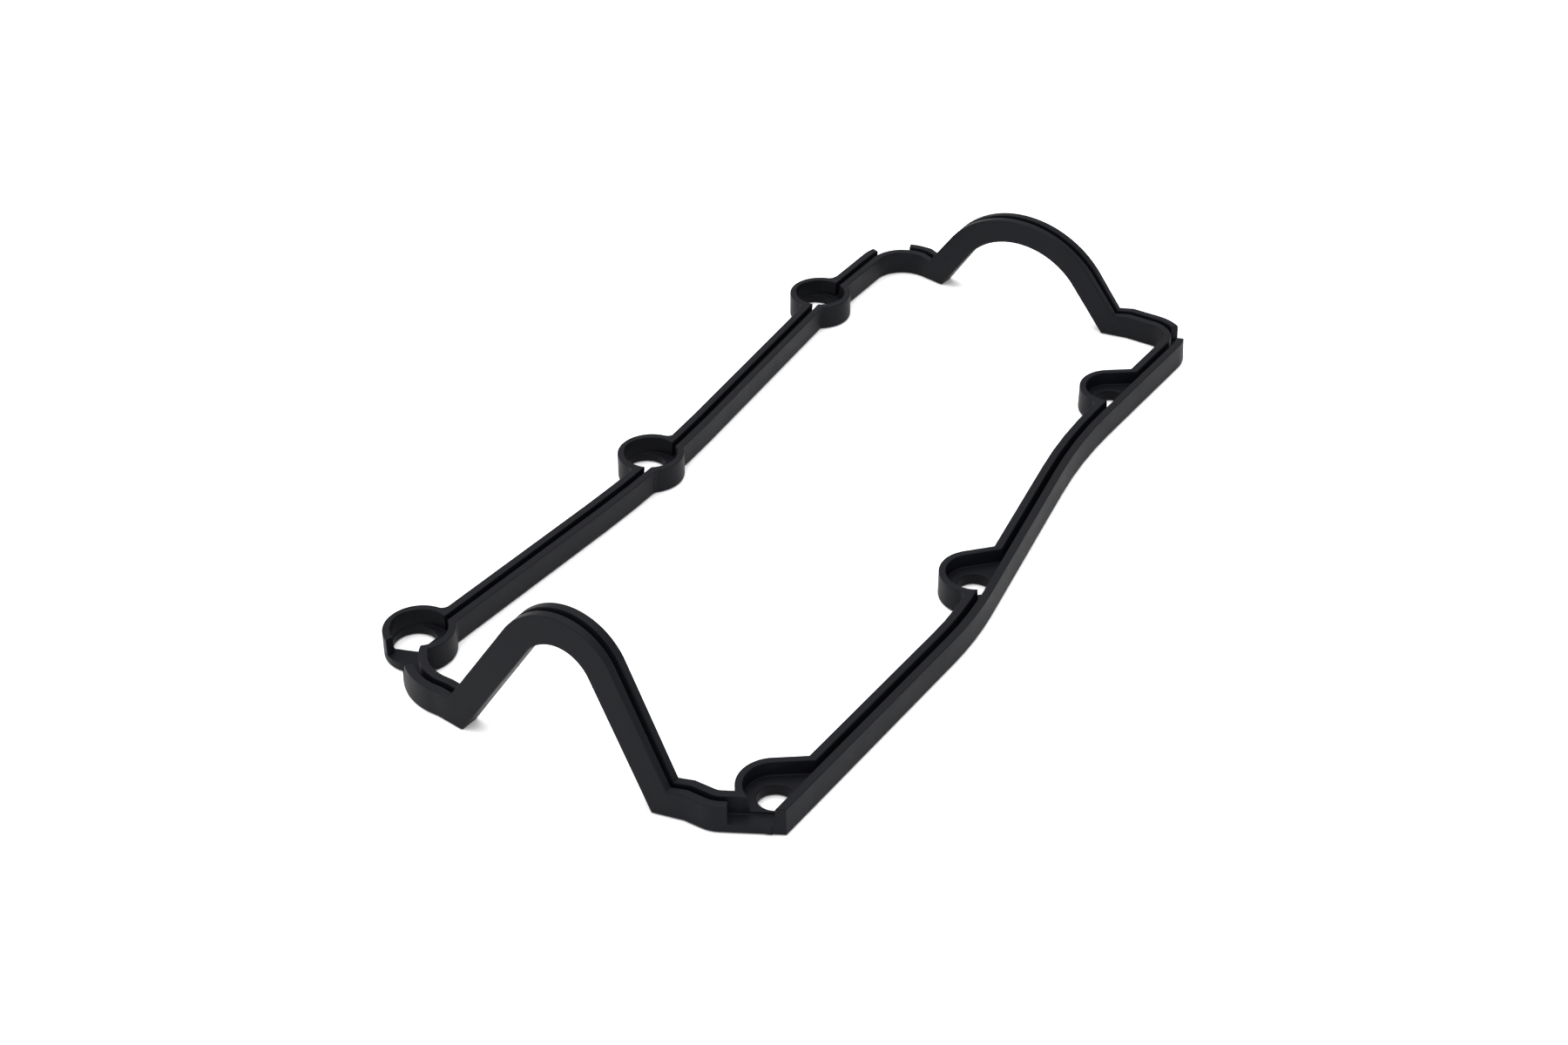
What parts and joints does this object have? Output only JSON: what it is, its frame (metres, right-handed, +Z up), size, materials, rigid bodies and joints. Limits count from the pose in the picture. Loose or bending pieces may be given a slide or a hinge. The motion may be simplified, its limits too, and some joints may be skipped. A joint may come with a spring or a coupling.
{
  "type": "valve cover gasket",
  "caption": "Moulded black rubber gasket: a channel-shaped strip round the cover's edge, with a camshaft arch at each end and bolt bosses along both sides.",
  "frame": {"origin": "centre of the gasket's box, on its flat underside", "axes": "+X along the cover from the tall arch to the low arch, +Y to the side with the full rings, +Z up"},
  "size_m": [0.3254, 0.1616, 0.0527],
  "materials": {
    "rubber": "moulded, satin"
  },
  "bodies": {
    "root": {"cover_gasket": "rubber"}
  },
  "joints": []
}
